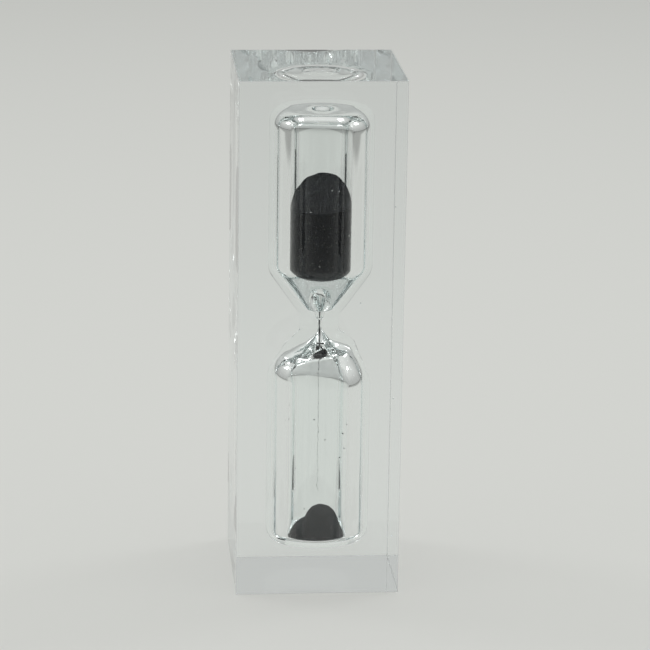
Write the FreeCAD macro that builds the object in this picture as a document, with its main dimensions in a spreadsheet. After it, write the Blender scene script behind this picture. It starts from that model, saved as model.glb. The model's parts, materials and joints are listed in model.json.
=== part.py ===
"""Sand timer sealed in a clear acrylic bar.

A square bar of cast acrylic holds a blown glass ampoule with two bulbs and a narrow throat. Black sand
runs from the upper bulb to the lower one. Millimetres; origin at the centre of the bar's base; +Z up,
+X to the right and +Y away from the viewer of the bar's front face.
"""
import FreeCAD, Part
import Sketcher
import math
import os

PARTS_FOLDER = "parts"
UP = FreeCAD.Vector(0, 0, 1)

# Driving dimensions: alias, value in millimetres (or degrees, or a count), what it is.
DIMENSIONS = [
    ("bar_side", 25.0, "side of the square acrylic bar"),
    ("bar_height", 80.0, "height of the bar"),
    ("edge_break", 0.3, "polished chamfer on the bar's edges"),
    ("ampoule_offset", 0.48, "the ampoule sits this far right of the bar's middle"),
    ("tube_radius", 7.95, "outer radius of both glass bulbs"),
    ("wall", 0.85, "wall of the glass tube"),
    ("crown_top", 75.1, "outer top of the ampoule, at its centre"),
    ("crown_edge", 74.95, "height where the crown meets the tube's side, before rounding"),
    ("crown_round", 2.6, "rounding of the crown's edge"),
    ("ceiling", 73.8, "inner top of the upper bulb"),
    ("ceiling_round", 2.0, "rounding of the ceiling's edge"),
    ("shoulder_level", 49.4, "inner start of the upper bulb's funnel"),
    ("shoulder_round", 2.2, "inner rounding where the funnel starts"),
    ("funnel_radius", 2.1, "inner radius where the funnel flattens"),
    ("funnel_level", 43.2, "height where the funnel flattens"),
    ("funnel_round", 0.9, "rounding where the funnel flattens"),
    ("throat_radius", 0.285, "radius of the throat's bore"),
    ("throat_top", 41.55, "upper mouth of the throat"),
    ("throat_bottom", 39.2, "lower mouth of the throat"),
    ("throat_round", 0.6, "rounding of the throat's mouths"),
    ("flare_radius", 4.6, "inner radius of the lower bulb's sloping roof"),
    ("flare_level", 36.45, "height of that radius"),
    ("flare_round", 2.0, "rounding of the roof's edge"),
    ("lower_shoulder", 31.8, "inner start of the lower bulb's straight side"),
    ("lower_round", 3.0, "inner rounding at that start"),
    ("floor_level", 6.7, "inner bottom of the lower bulb"),
    ("floor_round", 0.9, "rounding of the floor's edge"),
    ("heel_level", 5.7, "outer bottom of the ampoule"),
    ("heel_round", 2.6, "outer rounding of the bottom edge"),
    ("outer_shoulder", 49.3, "outer start of the upper bulb's funnel"),
    ("outer_round", 3.0, "outer rounding where the funnel starts"),
    ("waist_radius", 3.0, "outer radius of the waist"),
    ("waist_top", 42.3, "upper end of the waist, before rounding"),
    ("waist_bottom", 39.4, "lower end of the waist, before rounding"),
    ("waist_round", 2.4, "rounding at both ends of the waist"),
    ("brow_radius", 5.7, "outer radius of the lower bulb's roof edge"),
    ("brow_level", 37.5, "height of that radius"),
    ("brow_round", 2.6, "outer rounding of the roof edge"),
    ("outer_lower_shoulder", 32.8, "outer start of the lower bulb's straight side"),
    ("outer_lower_round", 4.0, "outer rounding at that start"),
    ("sand_gap", 0.05, "air left between the sand and the glass"),
    ("sand_level", 60.65, "upper sand's surface, at the ampoule's axis"),
    ("sand_tilt", 12.5, "slope of the upper sand's surface, degrees"),
    ("sand_turn", -12.0, "turn of that slope from the back towards the left, degrees"),
    ("thread_radius", 0.2, "radius of the sand thread in the throat"),
    ("thread_end", 36.6, "height where the thread breaks up into grains"),
    ("heap_peak", 10.4, "height of the lower heap's top"),
    ("heap_offset", 1.3, "the heap's top sits this far right of the ampoule's axis"),
    ("heap_crown", 3.0, "radius of the heap's blunt top, before rounding"),
    ("heap_crown_round", 3.0, "rounding of the heap's top"),
    ("heap_edge", 6.9, "height of the heap at its foot"),
    ("grain_radius", 0.08, "radius of one loose grain of sand"),
    ("falling_count", 48, "number of grains in the falling stream"),
    ("stream_spread", 0.12, "how far falling grains stray from the axis"),
    ("stream_end", 13.2, "height of the lowest falling grain"),
]

# Grains that cling to the lower bulb's wall: turn about the axis from +X in degrees, height.
CLINGING_GRAINS = [
    (262, 26.9), (222, 26.4), (196, 27.6), (296, 20.6), (303, 21.9), (276, 23.6),
    (268, 24.9), (300, 24.4), (309, 25.6), (238, 18.8), (318, 30.3), (251, 12.4),
]

doc = FreeCAD.newDocument("sand_timer")


def make_sheet():
    """The spreadsheet that drives every size of the model."""
    sheet = doc.addObject("Spreadsheet::Sheet", "Sizes")
    for row, (alias, value, meaning) in enumerate(DIMENSIONS, start=1):
        sheet.set(f"A{row}", alias)
        sheet.set(f"B{row}", str(value))
        sheet.setAlias(f"B{row}", alias)
        sheet.set(f"C{row}", meaning)
    doc.recompute()
    return sheet


sheet = make_sheet()


def size(expression):
    """Value of a dimension, or of a formula of dimensions."""
    return float(sheet.evalExpression(expression))


def on_sheet(expression):
    """The same formula, written for an object outside the sheet."""
    words = expression.split(" ")
    return " ".join(f"Sizes.{word}" if word[0].isalpha() else word for word in words)


def origin_plane(body, role):
    """One of a body's own origin planes."""
    return next(item for item in body.Origin.OriginFeatures if item.Role == role)


def make_body(name):
    """An empty body whose label is its node's name."""
    body = doc.addObject("PartDesign::Body", name)
    body.Label = name
    return body


def make_sketch(body, name, role):
    """A sketch on one of the body's origin planes."""
    sketch = body.newObject("Sketcher::SketchObject", name)
    sketch.AttachmentSupport = (origin_plane(body, role), [""])
    sketch.MapMode = "FlatFace"
    return sketch


def rounding_arc(before, corner, after, radius):
    """Arc that rounds a corner, as geometry, and whether it runs anticlockwise along the outline."""
    back = (before - corner).normalize()
    ahead = (after - corner).normalize()
    half_angle = back.getAngle(ahead) / 2
    centre = corner + (back + ahead).normalize() * (radius / math.sin(half_angle))
    reach = radius / math.tan(half_angle)
    first = corner + back * reach - centre
    last = corner + ahead * reach - centre
    anticlockwise = first.cross(last).z > 0
    start, end = (first, last) if anticlockwise else (last, first)
    circle = Part.Circle(centre, UP, radius)
    arc = Part.ArcOfCircle(circle, math.atan2(start.y, start.x), math.atan2(end.y, end.x))
    return arc, corner + back * reach, corner + ahead * reach, anticlockwise


def pin_point(sketch, geometry, position, across, height):
    """Hold a point of the sketch at two sheet dimensions; an empty one puts it on the axis."""
    if across:
        constraint = Sketcher.Constraint("DistanceX", -1, 1, geometry, position, size(across))
        sketch.setExpression(f"Constraints[{sketch.addConstraint(constraint)}]", on_sheet(across))
    else:
        sketch.addConstraint(Sketcher.Constraint("PointOnObject", geometry, position, -2))
    constraint = Sketcher.Constraint("DistanceY", -1, 1, geometry, position, size(height))
    sketch.setExpression(f"Constraints[{sketch.addConstraint(constraint)}]", on_sheet(height))


def draw_outline(sketch, corners):
    """Closed outline through corners of (distance from axis, height, rounding or None)."""
    points = [FreeCAD.Vector(size(across) if across else 0, size(height), 0)
              for across, height, _ in corners]
    count = len(corners)
    line_ends = [[point, point] for point in points]
    arcs = {}
    for index, (_, _, rounding) in enumerate(corners):
        if rounding:
            arc, enter, leave, anticlockwise = rounding_arc(
                points[index - 1], points[index], points[(index + 1) % count], size(rounding))
            arcs[index] = (sketch.addGeometry(arc, False), anticlockwise)
            line_ends[index] = [enter, leave]
    lines = []
    for index in range(count):
        finish = line_ends[(index + 1) % count][0]
        lines.append(sketch.addGeometry(Part.LineSegment(line_ends[index][1], finish), False))
    for index, (across, height, rounding) in enumerate(corners):
        arriving, leaving = lines[index - 1], lines[index]
        if not rounding:
            sketch.addConstraint(Sketcher.Constraint("Coincident", arriving, 2, leaving, 1))
            pin_point(sketch, leaving, 1, across, height)
            continue
        arc, anticlockwise = arcs[index]
        first, last = (1, 2) if anticlockwise else (2, 1)
        sketch.addConstraint(Sketcher.Constraint("Tangent", arriving, 2, arc, first))
        sketch.addConstraint(Sketcher.Constraint("Tangent", arc, last, leaving, 1))
        radius = sketch.addConstraint(Sketcher.Constraint("Radius", arc, size(rounding)))
        sketch.setExpression(f"Constraints[{radius}]", on_sheet(rounding))
        apex = sketch.addGeometry(Part.Point(points[index]), True)
        sketch.addConstraint(Sketcher.Constraint("PointOnObject", apex, 1, arriving))
        sketch.addConstraint(Sketcher.Constraint("PointOnObject", apex, 1, leaving))
        pin_point(sketch, apex, 1, across, height)


def spin_sketch(body, name, corners, kind):
    """Turn a half outline about the body's Z axis, to add it (Revolution) or cut it out (Groove)."""
    sketch = make_sketch(body, name + "_outline", "XZ_Plane")
    draw_outline(sketch, corners)
    spin = body.newObject("PartDesign::" + kind, name)
    spin.Profile = sketch
    spin.ReferenceAxis = (sketch, ["V_Axis"])
    spin.Angle = 360
    doc.recompute()
    return spin


def ampoule_outside():
    """Half outline of the glass's outer surface, from its top centre down to its bottom centre."""
    return [
        ("", "crown_top", None),
        ("tube_radius", "crown_edge", "crown_round"),
        ("tube_radius", "outer_shoulder", "outer_round"),
        ("waist_radius", "waist_top", "waist_round"),
        ("waist_radius", "waist_bottom", "waist_round / 2"),
        ("brow_radius", "brow_level", "brow_round"),
        ("tube_radius", "outer_lower_shoulder", "outer_lower_round"),
        ("tube_radius", "heel_level", "heel_round"),
        ("", "heel_level", None),
    ]


def ampoule_inside():
    """Half outline of the sealed cavity: upper bulb, funnel, throat, roof and lower bulb."""
    return [
        ("", "ceiling", None),
        ("tube_radius - wall", "ceiling", "ceiling_round"),
        ("tube_radius - wall", "shoulder_level", "shoulder_round"),
        ("funnel_radius", "funnel_level", "funnel_round"),
        ("throat_radius", "throat_top", "throat_round"),
        ("throat_radius", "throat_bottom", "throat_round"),
        ("flare_radius", "flare_level", "flare_round"),
        ("tube_radius - wall", "lower_shoulder", "lower_round"),
        ("tube_radius - wall", "floor_level", "floor_round"),
        ("", "floor_level", None),
    ]


def stand_on_ampoule_axis(item):
    """Put a piece on the ampoule's axis."""
    item.setExpression("Placement.Base.x", on_sheet("ampoule_offset"))


def make_acrylic_block():
    """Square bar, its edges broken by a small chamfer, cast all round the ampoule."""
    body = make_body("acrylic_block")
    square = make_sketch(body, "bar_section", "XY_Plane")
    half = size("bar_side / 2")
    corners = [FreeCAD.Vector(x * half, y * half, 0) for x, y in ((-1, -1), (1, -1), (1, 1), (-1, 1))]
    sides = [square.addGeometry(Part.LineSegment(corners[i - 1], corners[i]), False) for i in range(4)]
    for index in range(4):
        square.addConstraint(Sketcher.Constraint("Coincident", sides[index - 1], 2, sides[index], 1))
    for index, direction in enumerate(("Vertical", "Horizontal", "Vertical", "Horizontal")):
        square.addConstraint(Sketcher.Constraint(direction, sides[index]))
    for direction, side in (("DistanceX", sides[1]), ("DistanceY", sides[2])):
        length = square.addConstraint(Sketcher.Constraint(direction, side, 1, side, 2, 2 * half))
        square.setExpression(f"Constraints[{length}]", on_sheet("bar_side"))
    square.addConstraint(Sketcher.Constraint("Symmetric", sides[1], 1, sides[2], 2, -1, 1))
    bar = body.newObject("PartDesign::Pad", "bar")
    bar.Profile = square
    bar.setExpression("Length", on_sheet("bar_height"))
    doc.recompute()
    breaks = body.newObject("PartDesign::Chamfer", "broken_edges")
    breaks.Base = (bar, [f"Edge{number}" for number in range(1, len(bar.Shape.Edges) + 1)])
    breaks.setExpression("Size", on_sheet("edge_break"))
    doc.recompute()
    solid_volume = body.Shape.Volume
    cavity = spin_sketch(body, "ampoule_seat", ampoule_outside(), "Groove")
    cavity.Profile[0].setExpression("AttachmentOffset.Base.x", on_sheet("ampoule_offset"))
    doc.recompute()
    return body, solid_volume


def make_glass_ampoule():
    """Blown glass ampoule: two bulbs joined by a thick waist with a fine throat."""
    body = make_body("glass_ampoule")
    spin_sketch(body, "glass", ampoule_outside(), "Revolution")
    solid_volume = body.Shape.Volume
    spin_sketch(body, "cavity", ampoule_inside(), "Groove")
    stand_on_ampoule_axis(body)
    return body, solid_volume


def make_upper_sand():
    """Sand that fills the funnel and the upper bulb up to a sloping surface."""
    fill = make_body("upper_sand_fill")
    above_sand = "sand_level + tube_radius"
    spin_sketch(fill, "fill", [
        ("", above_sand, None),
        ("tube_radius - wall - sand_gap", above_sand, None),
        ("tube_radius - wall - sand_gap", "shoulder_level", "shoulder_round"),
        ("funnel_radius - sand_gap", "funnel_level", "funnel_round"),
        ("thread_radius", "throat_top", None),
        ("", "throat_top", None),
    ], "Revolution")
    stand_on_ampoule_axis(fill)
    air = doc.addObject("Part::Cylinder", "air_above_sand")
    air.setExpression("Radius", on_sheet("2 * tube_radius"))
    air.setExpression("Height", on_sheet("2 * tube_radius"))
    turn, tilt = math.radians(size("sand_turn")), size("sand_tilt")
    slope_axis = FreeCAD.Vector(math.cos(turn), math.sin(turn), 0)
    air.Placement = FreeCAD.Placement(FreeCAD.Vector(), FreeCAD.Rotation(slope_axis, tilt))
    air.setExpression("Placement.Base.x", on_sheet("ampoule_offset"))
    air.setExpression("Placement.Base.z", on_sheet("sand_level"))
    sand = doc.addObject("Part::Cut", "upper_sand")
    sand.Label = "upper_sand"
    sand.Base = fill
    sand.Tool = air
    doc.recompute()
    return sand


def make_sand_thread():
    """Sand on its way through the throat, thinning below it until it breaks into grains."""
    body = make_body("sand_thread")
    spin_sketch(body, "thread", [
        ("", "throat_top", None),
        ("thread_radius", "throat_top", None),
        ("thread_radius", "throat_bottom", None),
        ("thread_radius / 2", "thread_end", None),
        ("", "thread_end", None),
    ], "Revolution")
    stand_on_ampoule_axis(body)
    return body


def make_lower_sand():
    """Heap on the lower bulb's floor: a blunt cone of sand, bounded by the rounded glass."""
    fill = make_body("lower_sand_fill")
    spin_sketch(fill, "fill", [
        ("", "heap_peak + wall", None),
        ("tube_radius - wall - sand_gap", "heap_peak + wall", None),
        ("tube_radius - wall - sand_gap", "floor_level + sand_gap", "floor_round"),
        ("", "floor_level + sand_gap", None),
    ], "Revolution")
    mound = make_body("mound")
    spin_sketch(mound, "mound_slope", [
        ("", "heap_peak", None),
        ("heap_crown", "heap_peak", "heap_crown_round"),
        ("tube_radius - wall", "heap_edge", None),
        ("tube_radius - wall", "heel_level", None),
        ("", "heel_level", None),
    ], "Revolution")
    stand_on_ampoule_axis(fill)
    mound.setExpression("Placement.Base.x", on_sheet("ampoule_offset + heap_offset"))
    sand = doc.addObject("Part::Common", "lower_sand")
    sand.Label = "lower_sand"
    sand.Base = fill
    sand.Tool = mound
    doc.recompute()
    return sand


def make_grain_group(name, places):
    """One node of separate grains, each a ball at a place measured from the ampoule's axis."""
    grains = []
    for number, place in enumerate(places, start=1):
        grain = doc.addObject("Part::Sphere", f"{name}_{number}")
        grain.setExpression("Radius", on_sheet("grain_radius"))
        grain.Placement.Base = place + FreeCAD.Vector(size("ampoule_offset"), 0, 0)
        grains.append(grain)
    group = doc.addObject("Part::Compound", name)
    group.Label = name
    group.Links = grains
    doc.recompute()
    return group


def falling_places():
    """Grains below the thread, further apart as they speed up and drifting off the axis."""
    start = size("thread_end - 2 * grain_radius")
    count = int(size("falling_count"))
    golden_turn = math.pi * (3 - math.sqrt(5))
    places = []
    for step in range(count):
        fallen = (step / (count - 1)) ** 1.35
        drift = size("stream_spread") * fallen * (0.4 + 0.6 * abs(math.sin(2.3 * step)))
        height = start - fallen * (start - size("stream_end"))
        turn = golden_turn * step
        places.append(FreeCAD.Vector(drift * math.cos(turn), drift * math.sin(turn), height))
    return places


def clinging_places():
    """Grains held by static on the inner wall of the lower bulb."""
    reach = size("tube_radius - wall - sand_gap / 2 - grain_radius")
    return [FreeCAD.Rotation(UP, turn).multVec(FreeCAD.Vector(reach, 0, height))
            for turn, height in CLINGING_GRAINS]


acrylic_block, bar_volume = make_acrylic_block()
glass_ampoule, glass_volume = make_glass_ampoule()
pieces = [
    acrylic_block,
    glass_ampoule,
    make_upper_sand(),
    make_sand_thread(),
    make_grain_group("falling_grains", falling_places()),
    make_lower_sand(),
    make_grain_group("clinging_grains", clinging_places()),
]
doc.recompute()

for item in doc.Objects:
    if "Invalid" in item.State or "Error" in item.State:
        raise RuntimeError(f"{item.Name} failed: {item.State}")
for piece in pieces:
    if piece.Shape.isNull() or not piece.Shape.isValid():
        raise RuntimeError(f"{piece.Label} has no valid shape")
if acrylic_block.Shape.Volume >= bar_volume or glass_ampoule.Shape.Volume >= glass_volume:
    raise RuntimeError("a cavity was not cut")

os.makedirs(PARTS_FOLDER, exist_ok=True)
for piece in pieces:
    piece.Shape.exportStep(f"{PARTS_FOLDER}/{piece.Label}.step")
    print(f"{piece.Label}: {len(piece.Shape.Solids)} solid(s), {piece.Shape.Volume:.2f} mm3")
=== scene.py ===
"""Looks of the acrylic sand timer: clear bar, blown glass ampoule and black sand, on a pale floor."""
import json
import math
import random
import bmesh
import bpy
from mathutils import Matrix, Vector, noise

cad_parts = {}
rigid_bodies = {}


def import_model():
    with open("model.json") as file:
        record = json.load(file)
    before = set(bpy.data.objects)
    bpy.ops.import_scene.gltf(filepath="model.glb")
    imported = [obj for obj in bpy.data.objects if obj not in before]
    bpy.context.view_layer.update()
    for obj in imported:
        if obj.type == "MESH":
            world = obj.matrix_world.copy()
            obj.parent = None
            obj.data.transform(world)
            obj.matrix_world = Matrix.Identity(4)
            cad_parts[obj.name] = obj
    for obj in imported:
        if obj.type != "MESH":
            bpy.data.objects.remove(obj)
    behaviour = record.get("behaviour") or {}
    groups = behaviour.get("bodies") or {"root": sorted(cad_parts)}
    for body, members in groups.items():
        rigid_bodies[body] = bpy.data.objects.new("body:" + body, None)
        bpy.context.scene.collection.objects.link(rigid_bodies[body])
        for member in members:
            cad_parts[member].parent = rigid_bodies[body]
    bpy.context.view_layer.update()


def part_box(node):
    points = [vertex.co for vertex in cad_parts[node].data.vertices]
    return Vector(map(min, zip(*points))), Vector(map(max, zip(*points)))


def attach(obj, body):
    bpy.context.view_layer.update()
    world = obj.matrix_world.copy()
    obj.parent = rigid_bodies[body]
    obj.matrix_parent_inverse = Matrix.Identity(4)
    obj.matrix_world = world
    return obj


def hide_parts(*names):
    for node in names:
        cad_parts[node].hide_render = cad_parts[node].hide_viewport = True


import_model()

MM = 0.001
BODY = "root"

# The bar and the ampoule's axis, from the frame.
BAR_LOW, BAR_HIGH = (Vector(corner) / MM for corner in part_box("acrylic_block"))
GLASS_LOW, GLASS_HIGH = (Vector(corner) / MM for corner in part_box("glass_ampoule"))
AXIS_X = (GLASS_LOW.x + GLASS_HIGH.x) / 2
TUBE_RADIUS = (GLASS_HIGH.x - GLASS_LOW.x) / 2
WALL = 0.85
BORE_RADIUS = TUBE_RADIUS - WALL
CROWN_TOP = GLASS_HIGH.z
HEEL = GLASS_LOW.z
FLOOR_LEVEL = HEEL + 1.0
CEILING = CROWN_TOP - 1.15
THROAT_RADIUS = 0.285
PIP_RADIUS = 2.6
PIP_DEPTH = 0.6
FLOOR_ROUND = 0.9
FUNNEL_LEAN = 0.55
SAND_GAP = 0.05

ACRYLIC_INDEX = 1.49
GLASS_INDEX = 1.52


def rounded_outline(corners, arc_steps=12):
    """Half outline through corners of (distance from axis, height, rounding)."""
    points = []
    for index, (across, height, rounding) in enumerate(corners):
        corner = Vector((across, height))
        if not rounding:
            points.append(corner)
            continue
        back = (Vector(corners[index - 1][:2]) - corner).normalized()
        ahead = (Vector(corners[index + 1][:2]) - corner).normalized()
        half_angle = back.angle(ahead) / 2
        centre = corner + (back + ahead).normalized() * (rounding / math.sin(half_angle))
        reach = rounding / math.tan(half_angle)
        first = corner + back * reach - centre
        last = corner + ahead * reach - centre
        sweep = math.copysign(math.pi - 2 * half_angle, first.x * last.y - first.y * last.x)
        for step in range(arc_steps + 1):
            points.append(centre + Matrix.Rotation(sweep * step / arc_steps, 2) @ first)
    return points


def even_outline(points, counts_like=None, longest=0.35):
    """Outline with its long runs divided, so that no ring is far from the next."""
    counts = counts_like or [max(1, math.ceil((b - a).length / longest)) for a, b in zip(points, points[1:])]
    spaced = [points[0]]
    for first, last, count in zip(points, points[1:], counts):
        spaced += [first.lerp(last, step / count) for step in range(1, count + 1)]
    return spaced, counts


def blown_surface(mesh, right, left, sectors, flaws, slot, inward=False):
    """Surface whose right and left outlines differ a little, as hand-blown glass does."""
    rings = []
    for ring, (near, far) in enumerate(zip(right, left)):
        pole = ring in (0, len(right) - 1)
        verts = []
        for sector in range(1 if pole else sectors):
            turn = 2 * math.pi * sector / sectors
            share = (1 + math.cos(turn)) / 2
            spot = far.lerp(near, share)
            across = 0 if pole else spot.x
            place = Vector((across * math.cos(turn), across * math.sin(turn), spot.y))
            place += flaws(place, across)
            verts.append(mesh.verts.new((place + Vector((AXIS_X, 0, 0))) * MM))
        rings.append(verts)
    for upper, lower in zip(rings, rings[1:]):
        for sector in range(sectors):
            following = (sector + 1) % sectors
            if len(upper) == 1:
                corners = [upper[0], lower[sector], lower[following]]
            elif len(lower) == 1:
                corners = [upper[sector], lower[0], upper[following]]
            else:
                corners = [upper[sector], lower[sector], lower[following], upper[following]]
            if inward:
                corners.reverse()
            face = mesh.faces.new(corners)
            face.material_index = slot
            face.smooth = True


def finish_mesh(mesh, name, materials):
    """Turn a bmesh into a linked object with its materials."""
    data = bpy.data.meshes.new(name)
    mesh.to_mesh(data)
    mesh.free()
    for material in materials:
        data.materials.append(material)
    piece = bpy.data.objects.new(name, data)
    bpy.context.scene.collection.objects.link(piece)
    return piece


# ---------------------------------------------------------------- materials

def new_material(name):
    """A node material, with its tree and its Principled shader."""
    material = bpy.data.materials.new(name)
    material.use_nodes = True
    shader = material.node_tree.nodes["Principled BSDF"]
    return material, material.node_tree, shader


def add_node(tree, kind, **values):
    """A node with its inputs set by name."""
    node = tree.nodes.new(kind)
    for name, value in values.items():
        node.inputs[name.replace("_", " ")].default_value = value
    return node


def ramp_node(tree, value, low, high, to_low, to_high):
    """Smooth change of a value from one level to another."""
    ramp = tree.nodes.new("ShaderNodeMapRange")
    ramp.interpolation_type = "SMOOTHSTEP"
    for name, number in (("From Min", low), ("From Max", high), ("To Min", to_low), ("To Max", to_high)):
        ramp.inputs[name].default_value = number
    tree.links.new(value, ramp.inputs["Value"])
    return ramp.outputs["Result"]


def combine(tree, operation, first, second):
    """Arithmetic on two values of a node tree."""
    node = tree.nodes.new("ShaderNodeMath")
    node.operation = operation
    tree.links.new(first, node.inputs[0])
    tree.links.new(second, node.inputs[1])
    return node.outputs["Value"]


def clear_material(name, index, tint, film_least, film_most):
    """Clear solid whose surface carries a patchy film and fine polishing marks."""
    material, tree, shader = new_material(name)
    shader.inputs["Base Color"].default_value = (*tint, 1)
    shader.inputs["Transmission Weight"].default_value = 1
    shader.inputs["IOR"].default_value = index
    place = tree.nodes.new("ShaderNodeTexCoord")
    patches = add_node(tree, "ShaderNodeTexNoise", Scale=90.0, Detail=3.0, Roughness=0.6)
    marks = add_node(tree, "ShaderNodeTexNoise", Scale=2500.0, Detail=1.0)
    for texture in (patches, marks):
        tree.links.new(place.outputs["Object"], texture.inputs["Vector"])
    both = combine(tree, "MULTIPLY", patches.outputs["Fac"], marks.outputs["Fac"])
    film = ramp_node(tree, both, 0.15, 0.40, film_least, film_most)
    tree.links.new(film, shader.inputs["Roughness"])
    return material


def absorb_through(material, colour, density):
    """Slight tint that deepens with the way that light goes inside."""
    tree = material.node_tree
    volume = add_node(tree, "ShaderNodeVolumeAbsorption", Color=colour, Density=density)
    tree.links.new(volume.outputs["Volume"], tree.nodes["Material Output"].inputs["Volume"])


def buff_edges(material, low, high, width, roughness):
    """Slightly matt edges where the buffing wheel has rounded a box that has these corners, in millimetres."""
    tree = material.node_tree
    centre, half = (low + high) / 2 * MM, (high - low) / 2 * MM
    place = tree.nodes.new("ShaderNodeTexCoord")
    from_centre = tree.nodes.new("ShaderNodeVectorMath")
    from_centre.operation = "SUBTRACT"
    from_centre.inputs[1].default_value = centre
    tree.links.new(place.outputs["Object"], from_centre.inputs[0])
    either_side = tree.nodes.new("ShaderNodeVectorMath")
    either_side.operation = "ABSOLUTE"
    tree.links.new(from_centre.outputs["Vector"], either_side.inputs[0])
    from_faces = tree.nodes.new("ShaderNodeVectorMath")
    from_faces.operation = "SUBTRACT"
    from_faces.inputs[1].default_value = half
    tree.links.new(either_side.outputs["Vector"], from_faces.inputs[0])
    axes = tree.nodes.new("ShaderNodeSeparateXYZ")
    tree.links.new(from_faces.outputs["Vector"], axes.inputs["Vector"])
    x, y, z = (axes.outputs[axis] for axis in "XYZ")
    nearest = combine(tree, "MAXIMUM", combine(tree, "ADD", x, y), combine(tree, "ADD", x, z))
    nearest = combine(tree, "MAXIMUM", nearest, combine(tree, "ADD", y, z))
    matt = ramp_node(tree, nearest, -width * MM, -0.8 * width * MM, 0, roughness)
    socket = tree.nodes["Principled BSDF"].inputs["Roughness"]
    film = socket.links[0].from_socket
    tree.links.new(combine(tree, "MAXIMUM", film, matt), socket)


def sand_material():
    """Black sand: fine grains of varied dark tones, a few of them paler, with very rare pale specks among them."""
    material, tree, shader = new_material("black_sand")
    place = tree.nodes.new("ShaderNodeTexCoord")
    grains = add_node(tree, "ShaderNodeTexVoronoi", Scale=1 / (0.16 * MM))
    tree.links.new(place.outputs["Object"], grains.inputs["Vector"])
    pick = tree.nodes.new("ShaderNodeSeparateColor")
    tree.links.new(grains.outputs["Color"], pick.inputs["Color"])
    tones = tree.nodes.new("ShaderNodeValToRGB")
    stops = tones.color_ramp
    stops.elements[0].color = (0.0105, 0.012, 0.0155, 1)
    stops.elements[1].position = 0.82
    stops.elements[1].color = (0.018, 0.021, 0.028, 1)
    for position, shade in ((0.965, 0.03), (0.99, 0.12)):
        stops.elements.new(position).color = (shade, shade, shade, 1)
    tree.links.new(pick.outputs["Red"], tones.inputs["Fac"])
    # Very rare pale specks, far paler than the sand around them.
    rare_specks = add_node(tree, "ShaderNodeTexVoronoi", Scale=1 / (0.3 * MM))
    tree.links.new(place.outputs["Object"], rare_specks.inputs["Vector"])
    chance = tree.nodes.new("ShaderNodeSeparateColor")
    tree.links.new(rare_specks.outputs["Color"], chance.inputs["Color"])
    rare = ramp_node(tree, chance.outputs["Blue"], 0.9990, 0.9992, 0, 1)
    mixed = add_node(tree, "ShaderNodeMix")
    mixed.data_type = "RGBA"
    mixed.inputs["B"].default_value = (0.62, 0.62, 0.60, 1)
    tree.links.new(tones.outputs["Color"], mixed.inputs["A"])
    tree.links.new(rare, mixed.inputs["Factor"])
    tree.links.new(mixed.outputs["Result"], shader.inputs["Base Color"])
    shader.inputs["Specular IOR Level"].default_value = 0.12
    gloss = tree.nodes.new("ShaderNodeMapRange")
    gloss.inputs["To Min"].default_value = 0.45
    gloss.inputs["To Max"].default_value = 0.85
    tree.links.new(pick.outputs["Green"], gloss.inputs["Value"])
    tree.links.new(gloss.outputs["Result"], shader.inputs["Roughness"])
    relief = add_node(tree, "ShaderNodeBump", Strength=0.8, Distance=0.05 * MM)
    relief.invert = True
    tree.links.new(grains.outputs["Distance"], relief.inputs["Height"])
    tree.links.new(relief.outputs["Normal"], shader.inputs["Normal"])
    return material


ACRYLIC = clear_material("clear_acrylic", ACRYLIC_INDEX, (0.985, 0.99, 0.988), 0.0, 0.06)
absorb_through(ACRYLIC, (0.87, 0.965, 0.985, 1), 7.0)
buff_edges(ACRYLIC, BAR_LOW, BAR_HIGH, 0.14, 0.45)
GLASS_OUTSIDE = clear_material("glass_in_acrylic", GLASS_INDEX / ACRYLIC_INDEX, (0.995, 1, 0.998), 0.0, 0.04)
absorb_through(GLASS_OUTSIDE, (0.75, 0.95, 0.88, 1), 6.0)
GLASS_INSIDE = clear_material("glass_in_air", GLASS_INDEX, (0.995, 1, 0.998), 0.0, 0.04)
SAND = sand_material()


# ---------------------------------------------------------------- acrylic bar

# Tiny bubbles cast into the bar: inset from its right side, depth behind its front, height.
BUBBLES = [(1.3, 4.0, 60.4), (1.0, 5.0, 30.2), (0.9, 3.5, 8.4), (6.4, 2.5, 45.8)]
BUBBLE_RADIUS = 0.11


def make_bar():
    """Polished bar with broken edges, rounded a little more by the buffing wheel."""
    mesh = bmesh.new()
    bmesh.ops.create_cube(mesh, size=1)
    size = BAR_HIGH - BAR_LOW
    middle = (BAR_HIGH + BAR_LOW) / 2
    for vert in mesh.verts:
        vert.co = Vector(c * s + m for c, s, m in zip(vert.co, size, middle)) * MM
    bmesh.ops.bevel(mesh, geom=mesh.edges[:], offset=0.1 * MM, segments=3, profile=0.62, affect="EDGES")
    for inset, depth, height in BUBBLES:
        place = Vector((BAR_HIGH.x - inset, BAR_LOW.y + depth, height)) * MM
        bubble = bmesh.ops.create_icosphere(mesh, subdivisions=2, radius=BUBBLE_RADIUS * MM,
                                            matrix=Matrix.Translation(place))
        skin = {face for vert in bubble["verts"] for face in vert.link_faces}
        bmesh.ops.reverse_faces(mesh, faces=list(skin))
        for face in skin:
            face.smooth = True
    return finish_mesh(mesh, "acrylic_bar", [ACRYLIC])


# ---------------------------------------------------------------- glass ampoule

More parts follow.
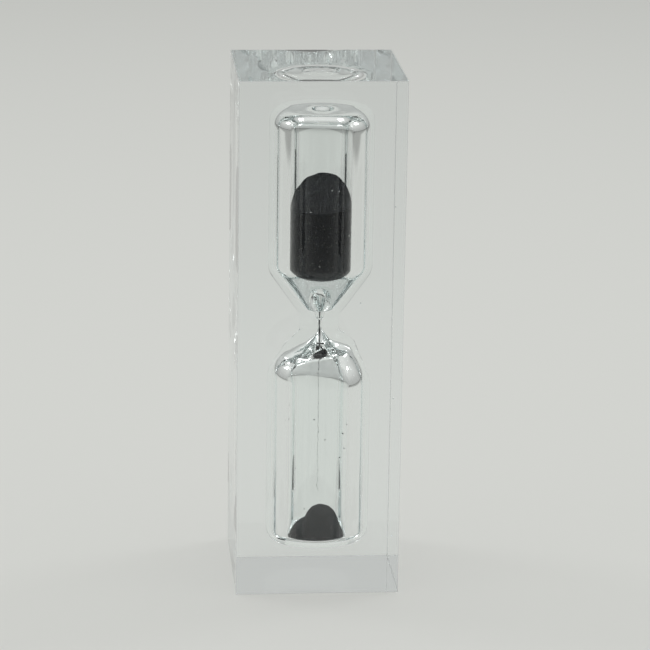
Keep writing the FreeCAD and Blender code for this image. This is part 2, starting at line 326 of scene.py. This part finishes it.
OUTSIDE_RIGHT = [
    (0, CROWN_TOP, 0),
    (TUBE_RADIUS, CROWN_TOP - 0.15, 2.6),
    (TUBE_RADIUS, 49.3, 3.0),
    (3.0, 42.3, 2.4),
    (3.0, 39.8, 1.2),
    (5.3, 38.2, 1.8),
    (TUBE_RADIUS, 31.9, 4.0),
    (TUBE_RADIUS, HEEL, 2.6),
    (0, HEEL, 0),
]
OUTSIDE_LEFT = [
    *OUTSIDE_RIGHT[:5],
    (5.4, 37.4, 1.8),
    (TUBE_RADIUS, 33.4, 4.0),
    *OUTSIDE_RIGHT[7:],
]
INSIDE_RIGHT = [
    (0, CEILING + PIP_DEPTH, 0),
    (PIP_RADIUS * 0.5, CEILING + PIP_DEPTH, 2.0),
    (PIP_RADIUS, CEILING, 2.0),
    (BORE_RADIUS, CEILING - 0.1, 2.7),
    (BORE_RADIUS, 49.4, 2.2),
    (2.15, 43.35, 0.9),
    (0.8, 43.1, 0.4),
    (0.66, 41.9, 0.4),
    (THROAT_RADIUS, 41.4, 0.5),
    (THROAT_RADIUS, 39.9, 1.6),
    (1.7, 38.15, 2.0),
    (4.75, 36.95, 1.2),
    (BORE_RADIUS, 32.5, 7.0),
    (BORE_RADIUS, FLOOR_LEVEL, FLOOR_ROUND),
    (0, FLOOR_LEVEL, 0),
]
INSIDE_LEFT = [
    *INSIDE_RIGHT[:3],
    (BORE_RADIUS, CEILING - 0.1, 2.3),
    (BORE_RADIUS, 49.6, 2.2),
    (2.05, 43.25, 0.9),
    *INSIDE_RIGHT[6:9],
    (THROAT_RADIUS, 39.3, 1.6),
    (2.0, 37.75, 3.0),
    (5.8, 35.6, 2.6),
    (BORE_RADIUS, 34.0, 4.0),
    (BORE_RADIUS, FLOOR_LEVEL, FLOOR_ROUND),
    (0, FLOOR_LEVEL, 0),
]


def paired_outlines(right, left):
    """The right and left outlines with matching points."""
    right_points, counts = even_outline(rounded_outline(right))
    left_points, _ = even_outline(rounded_outline(left), counts)
    return right_points, left_points


def funnel_lean(ahead, across, height):
    """How far the funnel's wall is raised behind, or lowered in front, at a place on it."""
    return FUNNEL_LEAN * ahead.y * min(1, across / 2) * math.exp(-((height - 46.5) / 3.5) ** 4)


def glass_flaws(place, across, ripple, dents):
    """Draw lines along the tube, a funnel a little lower in front, and dents by the throat."""
    if not across:
        return Vector()
    ahead = Vector((place.x, place.y, 0)).normalized()
    lines = ripple * noise.noise(Vector((ahead.x * 3.5, ahead.y * 3.5, place.z / 30)))
    near_funnel = math.exp(-((place.z - 45) / 3) ** 2)
    lines += 6 * ripple * near_funnel * noise.noise(Vector((ahead.x * 5, ahead.y * 5, place.z / 9)))
    lean = funnel_lean(ahead, across, place.z)
    near_throat = math.exp(-((place.z - 37.5) / 2.8) ** 2) * min(1, across / 4) ** 2
    dented = noise.noise_vector(place / 1.7) + noise.noise_vector(place / 0.9) * 0.5
    return ahead * lines * min(1, across / 2.5) + Vector((0, 0, lean)) + dented * dents * near_throat


def make_ampoule():
    """One blown glass wall: its outer face lies in acrylic and its inner face in air."""
    mesh = bmesh.new()
    right, left = paired_outlines(OUTSIDE_RIGHT, OUTSIDE_LEFT)
    blown_surface(mesh, right, left, 128, lambda p, a: glass_flaws(p, a, 0.004, 0.04), 0)
    right, left = paired_outlines(INSIDE_RIGHT, INSIDE_LEFT)
    blown_surface(mesh, right, left, 128, lambda p, a: glass_flaws(p, a, 0.005, 0.16), 1, inward=True)
    return finish_mesh(mesh, "blown_ampoule", [GLASS_OUTSIDE, GLASS_INSIDE])


# ---------------------------------------------------------------- sand

GLASS_RIGHT, GLASS_LEFT = paired_outlines(INSIDE_RIGHT, INSIDE_LEFT)


def radius_on(outline, height):
    """Radius of a half outline, listed from top to bottom, at a height."""
    for upper, lower in zip(outline, outline[1:]):
        if lower.y <= height <= upper.y and upper.y > lower.y:
            share = (height - lower.y) / (upper.y - lower.y)
            return lower.x + (upper.x - lower.x) * share
    return 0


def glass_radius(height, turn):
    """Inner radius of the glass at a height and a turn about the axis."""
    share = (1 + math.cos(turn)) / 2
    right, left = radius_on(GLASS_RIGHT, height), radius_on(GLASS_LEFT, height)
    return left + (right - left) * share


RIM_RINGS = 12
GRAIN_SIZE = 0.2


def grain_relief(place, depth):
    """Depth of the hollows between packed grains."""
    return depth * min(1, noise.voronoi(place / GRAIN_SIZE)[0][0])


def make_sand(name, heights, surface, sectors, cap_rings):
    """Sand bounded by the glass from the lowest height up, and on top by a surface height(x, y)."""
    mesh = bmesh.new()
    columns = []
    for sector in range(sectors):
        turn = 2 * math.pi * sector / sectors
        ahead = Vector((math.cos(turn), math.sin(turn), 0))
        top = wall_top(surface, ahead)
        places = []
        for height in heights + spaced(heights[-1], top, RIM_RINGS + 1)[1:]:
            across = glass_radius(height, turn)
            place = ahead * (across - SAND_GAP)
            place.z = height + funnel_lean(ahead, across, height)
            places.append(place - ahead * grain_relief(place, 0.05))
        rim = glass_radius(top, turn) - SAND_GAP
        for share in spaced(1, 0, cap_rings + 1)[1:-1]:
            place = ahead * (rim * share)
            place.z = surface(place.x, place.y)
            place.z -= grain_relief(place, 0.07)
            places.append(place)
        columns.append([mesh.verts.new((place + Vector((AXIS_X, 0, 0))) * MM) for place in places])
    base = mesh.verts.new(sum((column[0].co for column in columns), Vector()) / sectors)
    peak = mesh.verts.new(sum((column[-1].co for column in columns), Vector()) / sectors)
    for column, following in zip(columns, columns[1:] + columns[:1]):
        mesh.faces.new((base, following[0], column[0]))
        mesh.faces.new((column[-1], following[-1], peak))
        for ring in range(len(column) - 1):
            mesh.faces.new((column[ring], following[ring], following[ring + 1], column[ring + 1]))
    for face in mesh.faces:
        face.smooth = True
    return finish_mesh(mesh, name, [SAND])


def wall_top(surface, ahead):
    """Height at which a sand surface meets the glass."""
    height = surface(0, 0)
    for _ in range(4):
        reach = glass_radius(height, math.atan2(ahead.y, ahead.x)) - SAND_GAP
        height = surface(ahead.x * reach, ahead.y * reach)
    return height


def upper_surface(x, y):
    """Nearly level sand that slopes down to the front and a little to the left."""
    swell = 0.25 * noise.noise(Vector((x, y, 3.1)) / 3.5)
    return 60.65 + 0.22 * y + 0.05 * x + swell


HEAP_EDGE = FLOOR_LEVEL + 0.10


def mound(top, fall, away):
    """Height of a round-topped mound, away being the share of the way from its middle to its edge."""
    return top - fall * away ** 4.5


def heap_surface(x, y):
    """Round heap whose peak stands right of the middle, with a lower lobe in front on its left."""
    dome = mound(9.95, 3.6, math.hypot(x - 1.1, 0.87 * y) / 5.05)
    lobe = mound(8.1, 1.5, math.hypot(x + 3.6, y + 2.2) / 2.65)
    height = max(dome, lobe, HEAP_EDGE)
    swell = 0.12 * noise.noise(Vector((x, y, 7.7)) / 1.5)
    return max(HEAP_EDGE, height + swell * min(1, height - HEAP_EDGE))


def spaced(first, last, count):
    """Evenly spaced numbers, both ends included."""
    return [first + (last - first) * step / (count - 1) for step in range(count)]


THREAD_TOP = 43.0
THREAD_END = 36.9
THREAD_TURNS = 14


def make_thread():
    """Sand packed in the throat, thinning and wavering as it leaves it."""
    mesh = bmesh.new()
    rings = []
    for height in spaced(THREAD_TOP, THREAD_END, 70):
        below = max(0, 39.4 - height)
        centre = Vector((AXIS_X + 0.03 * below + 0.05 * noise.noise(Vector((height, 0, 5.5))), 0, height))
        centre.y += 0.05 * noise.noise(Vector((height, 0, 9.5)))
        radius = 0.15 + 0.05 * math.sin(height * 2.1) ** 2 - 0.02 * below
        ring = []
        for step in range(THREAD_TURNS):
            turn = 2 * math.pi * step / THREAD_TURNS
            ahead = Vector((math.cos(turn), math.sin(turn), 0))
            place = centre + ahead * radius
            place -= ahead * grain_relief(place, 0.04)
            ring.append(mesh.verts.new(place * MM))
        rings.append(ring)
    for upper, lower in zip(rings, rings[1:]):
        for step in range(THREAD_TURNS):
            following = (step + 1) % THREAD_TURNS
            mesh.faces.new((upper[step], lower[step], lower[following], upper[following])).smooth = True
    mesh.faces.new(rings[0])
    mesh.faces.new(rings[-1][::-1])
    return finish_mesh(mesh, "thread_of_sand", [SAND])


def grain_places(node):
    """Middle of every separate grain of a CAD node, in metres."""
    places = []
    for owner in bpy.data.objects:
        if owner.type != "MESH" or not owner.name.startswith(node):
            continue
        mesh = bmesh.new()
        mesh.from_mesh(owner.data)
        left = set(mesh.verts)
        while left:
            grain, edge = set(), {left.pop()}
            while edge:
                grain |= edge
                edge = {link.other_vert(vert) for vert in edge for link in vert.link_edges} - grain
            left -= grain
            places.append(owner.matrix_world @ (sum((vert.co for vert in grain), Vector()) / len(grain)))
        mesh.free()
    return sorted(places, key=lambda place: place.z)


def make_grains(name, node, share, radius, stray, fall):
    """Irregular loose grains where a CAD node's grains are, a few for each of them."""
    chance = random.Random(name)
    mesh = bmesh.new()
    for place in grain_places(node):
        for _ in range(share):
            off = Vector((chance.uniform(-stray, stray), chance.uniform(-stray, stray), chance.uniform(-fall, fall)))
            middle = place + off * MM
            size = radius * chance.uniform(0.75, 1.25)
            grain = bmesh.ops.create_icosphere(mesh, subdivisions=1, radius=size * MM,
                                               matrix=Matrix.Translation(middle))
            for vert in grain["verts"]:
                vert.co = middle + (vert.co - middle) * chance.uniform(0.7, 1.2)
    return finish_mesh(mesh, name, [SAND])


def make_pieces():
    """Every visible piece, riding on the one body and standing for its CAD node."""
    made = [
        (make_bar(), "acrylic_block", "clear_acrylic"),
        (make_ampoule(), "glass_ampoule", "clear_glass"),
        (make_sand("upper_black_sand", spaced(THREAD_TOP - 0.05, 57.5, 90), upper_surface, 220, 40),
         "upper_sand", "black_sand"),
        (make_thread(), "sand_thread", "black_sand"),
        (make_grains("falling_stream", "falling_grains", 5, 0.055, 0.08, 0.25), "falling_grains", "black_sand"),
        (make_grains("grains_on_glass", "clinging_grains", 2, 0.075, 0.06, 0.06), "clinging_grains", "black_sand"),
        (make_sand("lower_black_sand", [FLOOR_LEVEL + SAND_GAP], heap_surface, 180, 44),
         "lower_sand", "black_sand"),
    ]
    for piece, node, slot in made:
        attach(piece, BODY)
        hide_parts(node)


make_pieces()


# ---------------------------------------------------------------- studio

FLOOR_REACH = 2.5
FLOOR_GAP = 0.03
FLOOR_COLOUR = (0.267, 0.27, 0.26, 1)
# FLOOR_GLOW is the strength of a painted glow: the floor gives off light of its own, though it is no lamp.
FLOOR_GLOW = 0.44
FLOOR_GLOW_COLOUR = (0.99, 1.0, 0.96, 1)
# FRONT_SHADE, SIDE_SHADE and FAR_SHADE are levels of painted shade on the floor: in front of the timer, beyond the
# sheet's sides and far from it.
FRONT_SHADE = 0.25
SIDE_SHADE = 0.6
SHEET_HALF_WIDTH = 0.29
FAR_SHADE = 0.62
BACK_LIGHT = 0.42
TOP_LIGHT = 0.80
ROOM_LIGHT = 0.10
SOFTBOX_POWER = 0.9
SOFTBOX_SIZE = 0.20
SOFTBOX_PLACES = [(-62, 45), (64, 48)]
SOFTBOX_DISTANCE = 0.85


def make_floor():
    """Large pale sheet under the timer, with a painted glow of its own, dimmed by painted shade in front of the
    timer, beyond the sheet's sides and far from it.
    """
    mesh = bmesh.new()
    bmesh.ops.create_grid(mesh, x_segments=1, y_segments=1, size=FLOOR_REACH)
    material, tree, shader = new_material("pale_paper")
    place = tree.nodes.new("ShaderNodeTexCoord")
    axes = tree.nodes.new("ShaderNodeSeparateXYZ")
    tree.links.new(place.outputs["Object"], axes.inputs["Vector"])
    # Painted shade: the floor is darker in front of the timer, beyond the sheet's sides and with distance from the
    # timer.
    front = ramp_node(tree, axes.outputs["Y"], -0.24, -0.05, FRONT_SHADE, 1)
    aside = tree.nodes.new("ShaderNodeMath")
    aside.operation = "ABSOLUTE"
    tree.links.new(axes.outputs["X"], aside.inputs[0])
    sides = ramp_node(tree, aside.outputs["Value"], SHEET_HALF_WIDTH, SHEET_HALF_WIDTH * 1.1, 1, SIDE_SHADE)
    away = add_node(tree, "ShaderNodeVectorMath")
    away.operation = "LENGTH"
    tree.links.new(place.outputs["Object"], away.inputs[0])
    far = ramp_node(tree, away.outputs["Value"], 0, 1.2, 1, FAR_SHADE)
    painted_shade = combine(tree, "MULTIPLY", combine(tree, "MULTIPLY", front, sides), far)
    # The painted shade darkens both the floor's colour and its painted glow.
    for name, colour in (("Base Color", FLOOR_COLOUR), ("Emission Color", FLOOR_GLOW_COLOUR)):
        shade = add_node(tree, "ShaderNodeMix")
        shade.data_type = "RGBA"
        shade.inputs["A"].default_value = (0, 0, 0, 1)
        shade.inputs["B"].default_value = colour
        tree.links.new(painted_shade, shade.inputs["Factor"])
        tree.links.new(shade.outputs["Result"], shader.inputs[name])
    shader.inputs["Roughness"].default_value = 0.9
    shader.inputs["Specular IOR Level"].default_value = 0.1
    # Painted glow: light given off by the floor itself, in place of light falling on it.
    shader.inputs["Emission Strength"].default_value = FLOOR_GLOW
    floor = finish_mesh(mesh, "floor", [material])
    floor.location.z = -FLOOR_GAP * MM


def make_sky():
    """Soft light: bright overhead, pale behind the timer and dim on the viewer's side."""
    world = bpy.data.worlds.new("soft_room")
    bpy.context.scene.world = world
    world.use_nodes = True
    tree = world.node_tree
    place = tree.nodes.new("ShaderNodeTexCoord")
    axes = tree.nodes.new("ShaderNodeSeparateXYZ")
    tree.links.new(place.outputs["Generated"], axes.inputs["Vector"])
    height = ramp_node(tree, axes.outputs["Z"], -0.1, 1.0, BACK_LIGHT, TOP_LIGHT)
    depth = ramp_node(tree, axes.outputs["Y"], -0.85, -0.2, ROOM_LIGHT / BACK_LIGHT, 1)
    light = combine(tree, "MULTIPLY", height, depth)
    background = tree.nodes["Background"]
    background.inputs["Color"].default_value = (0.985, 1, 0.97, 1)
    tree.links.new(light, background.inputs["Strength"])


def make_softboxes():
    """Two soft lights, left and right of the timer and above it."""
    for number, (azimuth, elevation) in enumerate(SOFTBOX_PLACES, start=1):
        turn, tilt = math.radians(azimuth), math.radians(elevation)
        aside = Vector((math.sin(turn) * math.cos(tilt), math.cos(turn) * math.cos(tilt), math.sin(tilt)))
        data = bpy.data.lights.new(f"softbox_{number}", "AREA")
        data.shape = "SQUARE"
        data.size = SOFTBOX_SIZE
        data.energy = SOFTBOX_POWER
        light = bpy.data.objects.new(f"softbox_{number}", data)
        light.location = aside * SOFTBOX_DISTANCE + Vector((0, 0, 0.04))
        light.rotation_euler = aside.to_track_quat("Z", "Y").to_euler()
        bpy.context.scene.collection.objects.link(light)


def make_camera():
    """Camera at the height and angle of a person looking down on the timer."""
    yaw, pitch, roll = (math.radians(angle) for angle in (4.92, 15.93, 0.86))
    ahead = Vector((math.sin(yaw) * math.cos(pitch), math.cos(yaw) * math.cos(pitch), -math.sin(pitch)))
    level = Vector((math.cos(yaw), -math.sin(yaw), 0))
    upright = level.cross(ahead)
    right = level * math.cos(roll) + upright * math.sin(roll)
    up = upright * math.cos(roll) - level * math.sin(roll)
    data = bpy.data.cameras.new("camera")
    data.sensor_width = 36
    data.lens = 163.5
    data.clip_start = 0.01
    camera = bpy.data.objects.new("camera", data)
    camera.matrix_world = Matrix((
        (right.x, up.x, -ahead.x, -35.85 * MM),
        (right.y, up.y, -ahead.y, -436.3 * MM),
        (right.z, up.z, -ahead.z, 164.3 * MM),
        (0, 0, 0, 1),
    ))
    bpy.context.scene.collection.objects.link(camera)
    bpy.context.scene.camera = camera


make_floor()
make_sky()
make_softboxes()
make_camera()

scene = bpy.context.scene
scene.view_settings.view_transform = "Standard"
scene.cycles.max_bounces = 32
scene.cycles.transmission_bounces = 32
scene.cycles.glossy_bounces = 16
scene.cycles.diffuse_bounces = 4
